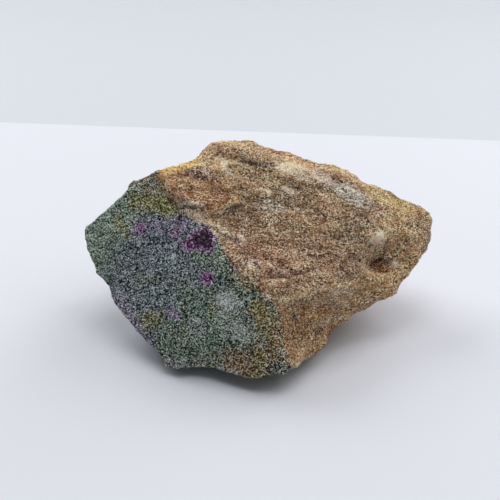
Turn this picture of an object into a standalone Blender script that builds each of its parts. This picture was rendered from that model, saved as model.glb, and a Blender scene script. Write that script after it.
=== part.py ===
"""Ruby in fuchsite: one rough lump of green fuchsite rock with a weathered brown schist crust.

The lump is a block bounded by broken faces, with a raised ledge of crust along its back edge.
It lies on a flat foot at z = 0. The whole specimen is one solid, grown as one piece.
"""

import math

import bmesh
import bpy
from mathutils import Vector, noise

MM = 0.001
NODE = "ruby_in_fuchsite"

# Corners of the broken block, in millimetres.
HEART = Vector((0.0, 0.0, 30.0))
LEFT_TIP = Vector((-59.5, 6.0, 34.5))
LEFT_BACK_EDGE = Vector((-57.0, 8.0, 41.5))
CREST = Vector((-33.0, 6.5, 61.0))
CREST_BACK_EDGE = Vector((-18.5, 15.5, 61.5))
LEFT_TOE = Vector((-27.5, -31.0, 1.5))
FRONT_TOE = Vector((11.5, -36.5, 2.5))
MEETING = Vector((6.0, -31.0, 32.5))
FRONT_CREASE = Vector((32.0, -20.5, 30.5))
RIGHT_EDGE_LOW = Vector((56.0, -11.0, 28.5))
RIGHT_TIP = Vector((67.5, 13.0, 37.0))
SHELF_LEFT = Vector((13.0, 17.0, 54.0))
SHELF_RIGHT = Vector((56.0, 10.0, 38.5))
SHELF_BACK = Vector((35.5, 32.0, 50.0))
FRONT_BEVEL = Vector((-10.5, -31.5, 16.5))
LEFT_EDGE_LOW = Vector((-49.0, -9.5, 17.5))
UNDER_LEFT = Vector((-34.0, 8.0, 0.0))
UNDER_FRONT = Vector((0.0, -22.0, 0.0))
UNDER_RIGHT = Vector((26.0, 12.0, 0.0))

# Broken faces given by the way they face: compass direction and upward lean in degrees, and a
# point on the face in millimetres.
BACK_FACE = (88.0, 17.0, Vector((0.0, 28.5, 62.0)))
BACK_RIGHT_FACE = (69.0, 22.0, Vector((57.0, 24.5, 41.2)))
UNDER_BACK_FACE = (90.0, -35.0, Vector((0.0, 38.0, 22.0)))
UNDER_BACK_LEFT_FACE = (150.0, -35.0, Vector((-43.0, 24.0, 25.0)))
LEFT_TIP_FACE = (138.0, -34.0, Vector((-60.2, 4.0, 31.0)))
RIGHT_FRONT_FACE = (-18.0, 2.0, Vector((61.8, 1.0, 34.0)))
RIGHT_TIP_FACE = (14.0, 12.0, RIGHT_TIP)
UNDER_RIGHT_TIP_FACE = (40.0, -28.0, Vector((67.5, 13.0, 33.0)))

# The raised ledge of crust on the back edge: corners of its top, and its other faces as above.
LEDGE_HEART = Vector((0.0, 24.0, 52.0))
LEDGE_FRONT_LEFT = Vector((-14.0, 16.0, 62.2))
LEDGE_BACK_LEFT = Vector((-14.0, 28.0, 63.7))
LEDGE_BACK_PEAK = Vector((-3.0, 28.0, 63.3))
LEDGE_FRONT_RIGHT = Vector((5.0, 17.0, 58.2))
LEDGE_BACK_MIDDLE = Vector((4.0, 28.0, 62.2))
LEDGE_BACK_RIGHT = Vector((18.5, 28.0, 55.8))
LEDGE_RISER = (-88.0, 34.0, Vector((-2.0, 16.8, 58.0)))
LEDGE_LEFT_END = (170.0, 30.0, Vector((-15.8, 24.0, 61.8)))
LEDGE_RIGHT_END = (-10.0, 45.0, Vector((18.5, 28.0, 55.0)))
LEDGE_ROOT = (0.0, -90.0, Vector((0.0, 24.0, 42.0)))

# The shoulder behind the crest: its faces as above.
SHOULDER_TOP = (125.0, 58.0, Vector((-18.5, 15.5, 60.3)))
SHOULDER_LEFT = (155.0, 44.0, Vector((-45.0, 9.0, 50.0)))
SHOULDER_BACK = (112.0, 14.0, Vector((-30.0, 30.0, 38.0)))
SHOULDER_END = (150.0, 8.0, Vector((-47.0, 21.0, 36.0)))
SHOULDER_FRONT = (-90.0, 0.0, Vector((-28.0, 8.0, 46.0)))
SHOULDER_INNER = (0.0, 0.0, Vector((-8.0, 14.0, 46.0)))
SHOULDER_ROOT = (0.0, -90.0, Vector((-28.0, 18.0, 31.0)))

START_SIZE = 300.0
FOOT_ALLOWANCE = 2.0
ROUGH_FOOT = -0.5
VOXEL = 1.2
TRIANGLES = 8800
ROUNDING_PASSES = 2

# A point inside the green rock, and how raggedly the crust meets it, in millimetres.
GREEN_HEART = Vector((-40.0, -20.0, 30.0))
BOUNDARY_WANDER = 1.2
BOUNDARY_SPACING = 5.0
BOUNDARY_WIDTH = 2.0

# Relief of the rock surface: heights and spacings in millimetres.
LUMP_HEIGHT = 1.0
LUMP_SPACING = 16.0
KNOB_HEIGHT = 0.4
KNOB_SPACING = 6.0
KNOB_SHIFT = Vector((7.0, 3.0, 5.0))
GRAIN_HEIGHT = 0.35
GRAIN_SPACING = 2.8
LAYER_STEP = 0.28
LAYER_RUN = 11.0
LAYER_WIDTH = 4.2
LAYER_LEVELS = (-0.2, 0.12)
LAYER_EDGE = 0.16

# The loose sheet of crust at the top left, its broken edge going round, seen from above.
SHEET_EDGE = (
    (-36.0, 4.0),
    (-30.5, -3.0),
    (-24.5, -5.5),
    (-17.0, -4.0),
    (-13.5, -5.5),
    (-8.5, -3.0),
    (-3.5, 1.5),
    (-2.5, 7.0),
    (-5.0, 13.0),
    (-12.0, 15.0),
    (-20.0, 12.0),
    (-33.0, 8.0),
)
SHEET_HEIGHT = 1.2
SHELF_HEIGHT = 0.7
SHELF_EDGE_WIDTH = 2.0
SHEET_EDGE_WIDTH = 0.9
SHEET_FLOOR = 40.0
SHEET_BACK = 20.0
SHELF_FLOOR = 30.0
SHELF_FADE = 6.0
RAGGEDNESS = 0.9
RAGGED_SPACING = 2.0

# Swells and chips of the surface: place, radius, and height or depth.
SWELLS = (
    (Vector((-43.0, 8.0, 53.5)), 6.0, 1.7),
    (Vector((-54.5, -3.0, 24.0)), 3.0, 0.5),
    (Vector((-25.0, 12.0, 61.5)), 4.0, 0.6),
    (Vector((27.0, -27.5, 10.5)), 4.0, 1.1),
    (Vector((50.0, -15.0, 22.5)), 5.0, 1.5),
    (Vector((45.0, 0.0, 36.8)), 2.6, 1.1),
)
CHIPS = (
    (Vector((-33.0, 6.5, 61.0)), 3.5, 0.8),
    (Vector((-13.0, -33.5, 3.5)), 8.0, 2.6),
    (Vector((18.0, -32.0, 5.0)), 4.0, 1.4),
    (Vector((36.0, -22.0, 17.0)), 6.0, 1.5),
    (Vector((48.5, 25.5, 44.5)), 5.0, 0.6),
    (Vector((45.0, -9.0, 32.5)), 3.3, 2.3),
)


def through(first, second, third, heart=HEART):
    """The plane through three corners as (point, normal), facing away from the heart."""
    normal = (second - first).cross(third - first).normalized()
    if normal.dot(first - heart) < 0:
        normal = -normal
    return first, normal


def facing(azimuth, lean, point):
    """The plane at a point that faces a compass direction and leans up or down, in degrees."""
    turn, tilt = math.radians(azimuth), math.radians(lean)
    flat = math.cos(tilt)
    return point, Vector((math.cos(turn) * flat, math.sin(turn) * flat, math.sin(tilt)))


GREEN_FACE = through(LEFT_TOE, LEFT_TIP, CREST)
CRUST_FACE = through(MEETING, CREST, RIGHT_TIP)
CRUST_DEPTH = through(CREST, MEETING, FRONT_TOE, GREEN_HEART)


def block_faces():
    """The broken faces of the main block."""
    lower_green = through(MEETING, FRONT_TOE, LEFT_TOE)
    between = (GREEN_FACE[1] + lower_green[1]).normalized()
    return [
        GREEN_FACE,
        lower_green,
        (FRONT_BEVEL, between),
        CRUST_FACE,
        through(MEETING, FRONT_TOE, FRONT_CREASE),
        through(SHELF_LEFT, SHELF_RIGHT, SHELF_BACK),
        through(CREST, LEFT_BACK_EDGE, CREST_BACK_EDGE),
        facing(*BACK_FACE),
        facing(*BACK_RIGHT_FACE),
        facing(*LEFT_TIP_FACE),
        facing(*RIGHT_FRONT_FACE),
        facing(*RIGHT_TIP_FACE),
        facing(*UNDER_RIGHT_TIP_FACE),
        through(LEFT_EDGE_LOW, LEFT_TOE, UNDER_LEFT),
        through(LEFT_TOE, FRONT_TOE, UNDER_FRONT),
        through(FRONT_TOE, RIGHT_EDGE_LOW, UNDER_RIGHT),
        facing(*UNDER_BACK_FACE),
        facing(*UNDER_BACK_LEFT_FACE),
        (Vector((0.0, 0.0, -FOOT_ALLOWANCE)), Vector((0.0, 0.0, -1.0))),
    ]


def ledge_faces():
    """The broken faces of the raised ledge on the back edge."""
    return [
        through(LEDGE_FRONT_LEFT, LEDGE_BACK_LEFT, LEDGE_BACK_PEAK, LEDGE_HEART),
        through(LEDGE_FRONT_RIGHT, LEDGE_BACK_MIDDLE, LEDGE_BACK_RIGHT, LEDGE_HEART),
        facing(*LEDGE_RISER),
        facing(*LEDGE_LEFT_END),
        facing(*LEDGE_RIGHT_END),
        facing(*BACK_FACE),
        facing(*LEDGE_ROOT),
    ]


def shoulder_faces():
    """The broken faces of the shoulder that lies behind the crest."""
    return [
        CRUST_FACE,
        GREEN_FACE,
        facing(*SHOULDER_TOP),
        facing(*SHOULDER_LEFT),
        facing(*SHOULDER_BACK),
        facing(*SHOULDER_END),
        facing(*SHOULDER_FRONT),
        facing(*SHOULDER_INNER),
        facing(*SHOULDER_ROOT),
    ]


def cut_block(name, faces):
    """A convex block left when a cube is broken along each face."""
    block = bmesh.new()
    bmesh.ops.create_cube(block, size=START_SIZE * MM)
    for point, normal in faces:
        whole = block.verts[:] + block.edges[:] + block.faces[:]
        cut = bmesh.ops.bisect_plane(
            block, geom=whole, plane_co=point * MM, plane_no=normal, clear_outer=True
        )
        rim = [part for part in cut["geom_cut"] if isinstance(part, bmesh.types.BMEdge)]
        if rim:
            bmesh.ops.edgeloop_fill(block, edges=rim)
    bmesh.ops.recalc_face_normals(block, faces=block.faces)
    mesh = bpy.data.meshes.new(name)
    block.to_mesh(mesh)
    block.free()
    made = bpy.data.objects.new(name, mesh)
    bpy.context.scene.collection.objects.link(made)
    return made


def settled(made):
    """Replaces an object's mesh by the mesh that its modifiers give, and drops them."""
    bpy.context.view_layer.update()
    graph = bpy.context.evaluated_depsgraph_get()
    mesh = bpy.data.meshes.new_from_object(made.evaluated_get(graph))
    made.modifiers.clear()
    made.data = mesh
    return mesh


def joined_blank(block, others):
    """Joins other blocks to the main one and remeshes them all as one even skin."""
    for other in others:
        join = block.modifiers.new(other.name, "BOOLEAN")
        join.operation = "UNION"
        join.solver = "EXACT"
        join.object = other
    skin = block.modifiers.new("skin", "REMESH")
    skin.mode = "VOXEL"
    skin.voxel_size = VOXEL * MM
    settled(block)
    for other in others:
        bpy.data.objects.remove(other)


def smooth_step(value, width):
    """Rises from 0 to 1 as the value goes from -width/2 to width/2."""
    share = min(1.0, max(0.0, value / width + 0.5))
    return share * share * (3.0 - 2.0 * share)


def edge_distance(x, y, outline):
    """Distance from a point to a closed outline, positive inside it."""
    point = Vector((x, y))
    nearest = math.inf
    inside = False
    for i, (ax, ay) in enumerate(outline):
        start = Vector((ax, ay))
        end = Vector(outline[(i + 1) % len(outline)])
        side = end - start
        share = max(0.0, min(1.0, (point - start).dot(side) / side.length_squared))
        nearest = min(nearest, (point - start - side * share).length)
        if (start.y > y) != (end.y > y) and x < start.x + (y - start.y) / side.y * side.x:
            inside = not inside
    return nearest if inside else -nearest


def mound(place, centre, radius):
    """A round mound of height 1 at the centre that fades out at about twice the radius."""
    return math.exp(-((place - centre).length / radius) ** 2)


def crust_share(place):
    """1 in the brown crust, 0 in the green rock, with a ragged boundary between."""
    point, normal = CRUST_DEPTH
    depth = (place - point).dot(normal) + BOUNDARY_WANDER * noise.noise(place / BOUNDARY_SPACING)
    return smooth_step(depth, BOUNDARY_WIDTH)


def layered(place):
    """Height of the thin layers of the crust, which break off in steps along their run."""
    along = (RIGHT_TIP - CREST).normalized()
    upward = CRUST_FACE[1]
    across = upward.cross(along)
    spot = Vector((place.dot(along) / LAYER_RUN, place.dot(across) / LAYER_WIDTH, 0.0))
    spot.z = place.dot(upward) / LAYER_RUN
    depth = noise.noise(spot) + 0.4 * noise.noise(spot * 2.3)
    layers = sum(smooth_step(depth - level, LAYER_EDGE) for level in LAYER_LEVELS)
    return LAYER_STEP * (layers - 1.0)


def crust_features(place):
    """Height of the loose sheet and of the shelf on the crust."""
    height = 0.0
    ragged = RAGGEDNESS * noise.noise(place / RAGGED_SPACING)
    if place.z > SHEET_FLOOR and place.y < SHEET_BACK:
        inside = edge_distance(place.x, place.y, SHEET_EDGE)
        height += SHEET_HEIGHT * smooth_step(inside + ragged, SHEET_EDGE_WIDTH)
    if place.z > SHELF_FLOOR:
        run = (SHELF_RIGHT - SHELF_LEFT).to_2d().normalized()
        behind = (place - SHELF_LEFT).to_2d().dot(Vector((-run.y, run.x)))
        fade = smooth_step(place.x - SHELF_LEFT.x, SHELF_FADE)
        height += SHELF_HEIGHT * fade * smooth_step(behind + ragged, SHELF_EDGE_WIDTH)
    return height


def swells_and_chips(place):
    """Height of the single swells, less the depth of the single chips."""
    raised = sum(height * mound(place, centre, radius) for centre, radius, height in SWELLS)
    lost = sum(depth * mound(place, centre, radius) for centre, radius, depth in CHIPS)
    return raised - lost


def relief(place):
    """Height of the rock surface over its broken faces at a place, in millimetres."""
    crust = crust_share(place)
    height = LUMP_HEIGHT * noise.noise(place / LUMP_SPACING)
    height += KNOB_HEIGHT * noise.noise(place / KNOB_SPACING + KNOB_SHIFT)
    height += swells_and_chips(place)
    height += (1.0 - crust) * GRAIN_HEIGHT * noise.noise(place / GRAIN_SPACING)
    height += crust * (layered(place) + crust_features(place))
    return height


def rounded(stone, passes):
    """Rounds the sharp edges that the breaks leave."""
    for _ in range(passes):
        bmesh.ops.smooth_vert(
            stone, verts=stone.verts, factor=0.5, use_axis_x=True, use_axis_y=True, use_axis_z=True
        )


def weathered(block):
    """Rounds the block's edges and raises its relief."""
    stone = bmesh.new()
    stone.from_mesh(block.data)
    rounded(stone, ROUNDING_PASSES)
    stone.normal_update()
    moves = [vert.normal * relief(vert.co / MM) * MM for vert in stone.verts]
    for vert, move in zip(stone.verts, moves):
        vert.co += move
    stone.to_mesh(block.data)
    stone.free()


def flat_foot(block, height):
    """Cuts the block flat at a height and closes the cut."""
    stone = bmesh.new()
    stone.from_mesh(block.data)
    whole = stone.verts[:] + stone.edges[:] + stone.faces[:]
    level, down = Vector((0.0, 0.0, height * MM)), Vector((0.0, 0.0, -1.0))
    cut = bmesh.ops.bisect_plane(stone, geom=whole, plane_co=level, plane_no=down, clear_outer=True)
    rim = [part for part in cut["geom_cut"] if isinstance(part, bmesh.types.BMEdge)]
    bmesh.ops.edgeloop_fill(stone, edges=rim)
    bmesh.ops.triangulate(stone, faces=stone.faces)
    stone.to_mesh(block.data)
    stone.free()


def thinned(block):
    """Brings the skin down to a modest number of triangles."""
    fewer = block.modifiers.new("fewer", "DECIMATE")
    block.data.calc_loop_triangles()
    fewer.ratio = TRIANGLES / len(block.data.loop_triangles)
    settled(block)


def centred(block):
    """Moves the middle of the footprint's box to the origin."""
    xs = [vert.co.x for vert in block.data.vertices]
    ys = [vert.co.y for vert in block.data.vertices]
    shift = Vector(((min(xs) + max(xs)) / 2, (min(ys) + max(ys)) / 2, 0.0))
    for vert in block.data.vertices:
        vert.co -= shift


def stone_material():
    """The plain colour of the rock."""
    material = bpy.data.materials.new("fuchsite_rock")
    material.use_nodes = True
    shader = material.node_tree.nodes["Principled BSDF"]
    shader.inputs["Base Color"].default_value = (0.24, 0.19, 0.13, 1.0)
    shader.inputs["Roughness"].default_value = 0.8
    return material


def main():
    for old in list(bpy.data.objects):
        bpy.data.objects.remove(old)
    block = cut_block(NODE, block_faces())
    ledge = cut_block("ledge", ledge_faces())
    shoulder = cut_block("shoulder", shoulder_faces())
    joined_blank(block, [ledge, shoulder])
    weathered(block)
    flat_foot(block, ROUGH_FOOT)
    thinned(block)
    flat_foot(block, 0.0)
    centred(block)
    block.data.materials.append(stone_material())


main()
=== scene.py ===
"""Dresses a rough lump of ruby in fuchsite: grained green rock, ruby spots and a brown crust.

The solid of the frame is copied, given a fine skin, and its broken surface is raised in relief.
Colours are painted on the skin's points, with painted shade and highlights among them, and the finish
adds the grain.
Pale sheets, soft lights and a camera make the studio around it. Names that end in _mm are lengths in
millimetres.
"""

from __future__ import annotations

import logging
import math
from dataclasses import dataclass, field
from enum import Enum

import bmesh
import bpy
import numpy as np
from mathutils import Matrix, Vector, noise
from mathutils.bvhtree import BVHTree

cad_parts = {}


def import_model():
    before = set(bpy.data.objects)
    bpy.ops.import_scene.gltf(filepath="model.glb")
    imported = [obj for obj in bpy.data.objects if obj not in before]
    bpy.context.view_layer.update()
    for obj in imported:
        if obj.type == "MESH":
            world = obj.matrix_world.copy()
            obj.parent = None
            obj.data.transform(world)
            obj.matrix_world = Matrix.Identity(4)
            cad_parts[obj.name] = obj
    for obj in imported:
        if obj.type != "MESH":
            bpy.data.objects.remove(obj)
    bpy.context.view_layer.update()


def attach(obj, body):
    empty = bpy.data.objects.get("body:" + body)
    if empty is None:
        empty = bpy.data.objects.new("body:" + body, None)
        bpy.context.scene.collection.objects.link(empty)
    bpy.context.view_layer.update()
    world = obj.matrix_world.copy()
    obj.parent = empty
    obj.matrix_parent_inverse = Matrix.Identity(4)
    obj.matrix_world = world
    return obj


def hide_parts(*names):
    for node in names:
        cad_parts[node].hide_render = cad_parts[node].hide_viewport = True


MM = 0.001

# Limits on the grain, in the colours of a screen from 0 to 1: the darkest and palest part that a
# grain may give a colour, and how far a grain may wash out a strong colour on its way to pale.
SCREEN_GAMMA = 2.2
DARKEST = 0.04
PALEST = 0.95
BLEACH = 0.35

BODY = "root"
NODE = "ruby_in_fuchsite"
PIECE = "ruby_in_fuchsite_rock"
LOG = logging.getLogger("ruby_in_fuchsite")

Pixel = tuple[float, float]
Place = tuple[float, float, float]


@dataclass(frozen=True)
class Paint:
    """A colour as a screen shows it, each part from 0 to 255."""

    red: float
    green: float
    blue: float

    @property
    def linear(self) -> np.ndarray:
        """The colour as linear light from 0 to 1."""
        shown = np.array((self.red, self.green, self.blue)) / 255.0
        return np.where(shown <= 0.04045, shown / 12.92, ((shown + 0.055) / 1.055) ** 2.4)

    def socket(self) -> tuple[float, float, float, float]:
        """The colour as a shader's socket takes it."""
        red, green, blue = self.linear
        return (float(red), float(green), float(blue), 1.0)


class Tint(Enum):
    """The colours of the rock, named as a collector would."""

    FUCHSITE = Paint(48, 73, 53)
    MICA = Paint(107, 131, 106)
    PALE_GREEN = Paint(236, 247, 238)
    DEEP_GREEN = Paint(76, 97, 69)
    SHADE_GREEN = Paint(137, 120, 81)
    SLATE = Paint(67, 82, 88)
    DUSK = Paint(94, 84, 110)
    MOSS = Paint(90, 84, 15)
    LICHEN = Paint(80, 58, 0)
    RUST = Paint(114, 80, 40)
    FROST = Paint(193, 202, 194)
    SCHIST = Paint(123, 92, 58)
    RUSSET = Paint(115, 72, 36)
    SIENNA = Paint(125, 87, 56)
    OCHRE = Paint(250, 188, 112)
    HONEY = Paint(214, 168, 122)
    SAND = Paint(175, 139, 99)
    CREAM = Paint(247, 219, 190)
    ASH = Paint(122, 94, 57)
    STEEL = Paint(193, 188, 178)
    MAUVE = Paint(126, 96, 65)
    OLIVE_TAN = Paint(179, 141, 97)
    UMBER = Paint(153, 108, 60)
    # A dark brown: real dark specks, and painted shade in cracks, along the pit's rim, on a steep end
    # face and under ledges.
    EARTH_AND_SHADE = Paint(46, 24, 3)
    BRICK = Paint(170, 102, 69)
    LILAC = Paint(196, 188, 216)
    MAGENTA = Paint(156, 98, 166)
    CLARET = Paint(90, 34, 80)
    CHERRY = Paint(38, 8, 32)
    AMBER = Paint(166, 108, 48)
    BLUSH = Paint(250, 203, 180)
    GOLD = Paint(184, 154, 98)
    OLIVE = Paint(124, 95, 23)


def smooth_step(values: np.ndarray, width: float) -> np.ndarray:
    """Eases values from 0 to 1 around nought.

    Args:
        values: Distances, negative on the low side.
        width: How far the rise from 0 to 1 stretches.

    Returns:
        The eased shares, the same shape as the values.
    """
    share = np.clip(values / width + 0.5, 0.0, 1.0)
    return share * share * (3.0 - 2.0 * share)


def wander(points: np.ndarray, spacing: float, shift: float = 0.0) -> np.ndarray:
    """Samples smooth noise at each point.

    Args:
        points: Places, one row each.
        spacing: Distance between the noise's bumps.
        shift: Offset that gives a different noise.

    Returns:
        One value for each point, about -0.6 to 0.6.
    """
    return np.array([noise.noise(Vector(place)) for place in points / spacing + shift])


def grains(points: np.ndarray, spacing: float) -> np.ndarray:
    """Rounds the surface into grains.

    Args:
        points: Places, one row each.
        spacing: Distance between the grains.

    Returns:
        Height for each point, about 1 on a grain's middle and 0 between grains.
    """
    nearest = [noise.voronoi(Vector(place))[0][0] for place in points / spacing]
    return np.clip(1.0 - np.array(nearest) ** 2 * 1.6, 0.0, 1.0)


class Offset(float, Enum):
    """The offset of each noise. Noises that share an offset differ in their spacing."""

    BROAD_STAIN = 3.0
    STREAKS = 5.0
    FINE_FRAY = 7.0
    SMALL_STAIN = 9.0
    STEPS = 15.0
    LUMPS = 21.0
    SWIRL = 27.0
    GREEN_CRUMBS = 33.0
    CRUST_CRUMBS = 41.0
    MOTTLES = 50.0
    SMALL_CLOUDS = 60.0
    BROAD_CLOUDS = 70.0


@dataclass(frozen=True)
class Camera:
    """A camera that looks down at the lump, and the sight lines through its picture.

    Attributes:
        target_mm: The place that it looks at.
        distance_mm: How far it stands from that place.
        elevation: How steeply it looks down, in degrees.
        lens_mm: Focal length of its lens.
        sensor_mm: Width of its sensor.
        picture: Width and height of its picture in pixels.
    """

    target_mm: Place = (-3.32, -2.19, 32.7)
    distance_mm: float = 320.0
    elevation: float = 30.0
    lens_mm: float = 65.0
    sensor_mm: float = 36.0
    picture: float = 500.0

    @property
    def forward(self) -> Vector:
        """The way that the camera looks."""
        tilt = math.radians(self.elevation)
        return Vector((0.0, math.cos(tilt), -math.sin(tilt)))

    @property
    def place(self) -> Vector:
        """Where the camera stands, in metres."""
        return (Vector(self.target_mm) - self.forward * self.distance_mm) * MM

    def sight(self, pixel: Pixel) -> Vector:
        """Works out the direction of the sight line through a pixel.

        Args:
            pixel: Column and row in the picture, from its top left corner.

        Returns:
            The direction, of length 1.
        """
        focal = self.lens_mm / self.sensor_mm * self.picture
        right = Vector((1.0, 0.0, 0.0))
        up = right.cross(self.forward)
        middle = self.picture / 2.0
        aside = right * ((pixel[0] - middle) / focal) + up * ((middle - pixel[1]) / focal)
        return (self.forward + aside).normalized()

    def floor_point(self, pixel: Pixel) -> Vector:
        """Where the sight line through a pixel meets the floor, in metres."""
        line = self.sight(pixel)
        return self.place - line * (self.place.z / line.z)

    def build(self) -> None:
        """Puts the camera in the scene and makes it the scene's own."""
        data = bpy.data.cameras.new("camera")
        data.lens = self.lens_mm
        data.sensor_width = self.sensor_mm
        made = bpy.data.objects.new("camera", data)
        made.location = self.place
        made.rotation_euler = (math.radians(90.0 - self.elevation), 0.0, 0.0)
        bpy.context.scene.collection.objects.link(made)
        bpy.context.scene.camera = made


@dataclass(frozen=True)
class Patch:
    """A patch of colour around a line on the skin.

    Attributes:
        pixels: Where the camera sees the line, from its start to its end.
        reach_mm: How far the patch reaches from the line.
        tint: The patch's colour.
        share: How much of the colour under it the patch hides.
        soft: Share of the reach over which the patch fades.
    """

    pixels: tuple[Pixel, ...]
    reach_mm: float
    tint: Tint
    share: float = 0.9
    soft: float = 0.6


@dataclass(frozen=True)
class Seam:
    """A thin raised edge or a crack along a line on the skin.

    Attributes:
        pixels: Where the camera sees the line, from its start to its end.
        width_mm: How wide it is.
        rise_mm: Its height, or its depth where it is less than nought.
        tint: Its colour: dark ones are painted shade in a crack or painted shadow under an edge, and
            pale ones are lips and rims, partly painted highlight.
    """

    pixels: tuple[Pixel, ...]
    width_mm: float
    rise_mm: float
    tint: Tint


@dataclass(frozen=True)
class Ledge:
    """The broken edge of a thin sheet of schist.

    Attributes:
        pixels: Where the camera sees the edge, with the high side on the left on the way along it.
        rise_mm: How high the edge stands.
        run_mm: How far behind the edge the sheet sinks back to nothing.
        lip_highlight_and_foot_shadow: How pale its lip is, partly as painted highlight, and how dark
            the painted shadow at its foot is.
    """

    pixels: tuple[Pixel, ...]
    rise_mm: float
    run_mm: float
    lip_highlight_and_foot_shadow: float = 0.15


@dataclass(frozen=True)
class Calm:
    """A stretch of crust with quieter streaks.

    Attributes:
        pixels: Where the camera sees the line that it lies around.
        reach_mm: How far it reaches from the line.
        share: How much of the streaks it takes away.
    """

    pixels: tuple[Pixel, ...]
    reach_mm: float
    share: float


@dataclass(frozen=True)
class Knob:
    """A knot on the rock, or a pit where its rise is less than nought.

    Attributes:
        pixels: Where the camera sees the line that it lies around.
        radius_mm: How far it reaches from the line.
        rise_mm: Its height.
        fray: How ragged its edge is.
    """

    pixels: tuple[Pixel, ...]
    radius_mm: float
    rise_mm: float
    fray: float = 0.15

    def rise(self, skin: Skin) -> np.ndarray:
        """How far it lifts each point of the skin, in millimetres."""
        near = skin.around(self.pixels) / self.radius_mm + self.fray * skin.ragged
        return self.rise_mm * smooth_step(0.8 - near, 1.2)


@dataclass(frozen=True)
class Lean:
    """A stretch of the lump's edge that leans along the camera's sight line.

    Attributes:
        pixels: Where the camera sees the edge.
        reach_mm: How far from the edge the lean dies out.
        toward_mm: How far it leans toward the camera, or away where it is less than nought.
    """

    pixels: tuple[Pixel, ...]
    reach_mm: float
    toward_mm: float


@dataclass(frozen=True)
class Spot:
    """A ruby spot.

    Attributes:
        pixel: Where the camera sees it.
        radius_mm: Its radius.
        strength: How deep its colour is: 1 for full magenta, and more where it is dark.
    """

    pixel: Pixel
    radius_mm: float
    strength: float


@dataclass
class Skin:
    """The points of the lump's fine skin, and what is known of each.

    Attributes:
        points: Places in millimetres, one row each.
        normals: The way out at each point.
        tree: The skin as a tree that sight lines are cast on.
        camera: The camera whose pixels name places on the skin.
        ragged: Noise that frays the edges of patches.
    """

    points: np.ndarray
    normals: np.ndarray
    tree: BVHTree
    camera: Camera
    ragged: np.ndarray = field(init=False)

    def __post_init__(self) -> None:
        """Works out the noise that patches share."""
        self.ragged = wander(self.points, 3.0) + 0.6 * wander(self.points, 1.2, Offset.FINE_FRAY)

    def touch(self, pixel: Pixel) -> np.ndarray:
        """Finds the place on the skin that the camera sees at a pixel.

        Args:
            pixel: Column and row in the picture.

        Returns:
            The place in millimetres.
        """
        line = self.camera.sight(pixel)
        place = self.tree.ray_cast(self.camera.place, line)[0]
        if place is None:
            middle = self.camera.place + line * self.camera.distance_mm * MM
            place = self.tree.find_nearest(middle)[0]
        return np.array(place) / MM

    def distance(self, places: list[np.ndarray]) -> np.ndarray:
        """Measures from each point to a line.

        Args:
            places: The line's corners in millimetres, one or more.

        Returns:
            The distance of each point in millimetres.
        """
        best = np.linalg.norm(self.points - places[0], axis=1)
        for start, end in zip(places, places[1:]):
            line = end - start
            along = np.clip((self.points - start) @ line / (line @ line), 0.0, 1.0)
            gap = self.points - start - along[:, None] * line
            best = np.minimum(best, np.linalg.norm(gap, axis=1))
        return best

    def around(self, pixels: tuple[Pixel, ...]) -> np.ndarray:
        """The distance in millimetres from each point to the line through these pixels."""
        return self.distance([self.touch(pixel) for pixel in pixels])

    def cover(self, pixels: tuple[Pixel, ...], reach_mm: float, soft: float) -> np.ndarray:
        """Works out how far a patch around a line covers each point.

        Args:
            pixels: Where the camera sees the line.
            reach_mm: How far the patch reaches from the line.
            soft: Share of the reach over which the patch fades.

        Returns:
            Shares from 0 to 1.
        """
        near = self.around(pixels) / reach_mm + 0.8 * soft * self.ragged
        return smooth_step(1.0 - near, 2.0 * soft)


@dataclass(frozen=True)
class Border:
    """The broken edge where the brown crust ends and the green rock shows.

    Attributes:
        pixels: The edge from the crest down to the toe.
        meeting: Which of those corners is the one where three faces of the lump meet.
        fray_mm: How far the edge wanders at random.
        blend_mm: How wide the change from one rock to the other is.
        stain_mm: How far the edge wanders on the back, in broad and in small bays.
        stain_spacing_mm: Distance between those bays.
        back_mm: How much further the crust reaches on the back.
        back_facing: How far back a face must face to count as the back.
        back_height_mm: The height above which the crust reaches further there.
        back_stain: How many times wider the bays are there.
    """

    pixels: tuple[Pixel, ...] = (
        (155, 171), (158, 183), (163, 192), (172, 200), (183, 210), (190, 218), (205, 226),
        (215, 237), (222, 250), (230, 261), (237, 270), (243, 277), (255, 285), (262, 297),
        (268, 300), (275, 305), (279, 313), (281, 325), (284, 335), (286, 350), (286, 365),
        (284, 375),
    )
    meeting: int = 14
    fray_mm: float = 1.2
    blend_mm: float = 0.9
    stain_mm: tuple[float, float] = (9.0, 5.0)
    stain_spacing_mm: tuple[float, float] = (11.0, 4.0)
    back_mm: float = 16.0
    back_facing: float = 0.45
    back_height_mm: float = 18.0
    back_stain: float = 2.0

    def crust(self, skin: Skin) -> np.ndarray:
        """Works out how far each point lies in the crust.

        Args:
            skin: The skin of the lump.

        Returns:
            The share of crust at each point, 1 well inside it and 0 on the green rock.
        """
        edge = np.array([skin.touch(pixel) for pixel in self.pixels])
        flat = np.cross(edge[self.meeting] - edge[0], edge[-1] - edge[0])
        flat = flat / np.linalg.norm(flat)
        flat = flat if flat[0] > 0.0 else -flat
        beside = (edge - edge[0]) @ flat
        order = np.argsort(edge[:, 2])
        bend = np.interp(skin.points[:, 2], edge[order, 2], beside[order])
        away = (skin.points - edge[0]) @ flat - bend
        broad, small = self.stain_mm
        broad_spacing, small_spacing = self.stain_spacing_mm
        stain = broad * wander(skin.points, broad_spacing, Offset.BROAD_STAIN)
        stain = stain + small * wander(skin.points, small_spacing, Offset.SMALL_STAIN)
        behind = smooth_step(skin.normals[:, 1] - self.back_facing, 0.5)
        behind = behind * smooth_step(skin.points[:, 2] - self.back_height_mm, 16.0)
        away = away + behind * (self.back_mm + self.back_stain * stain)
        return smooth_step(away + self.fray_mm * skin.ragged, self.blend_mm)


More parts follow.
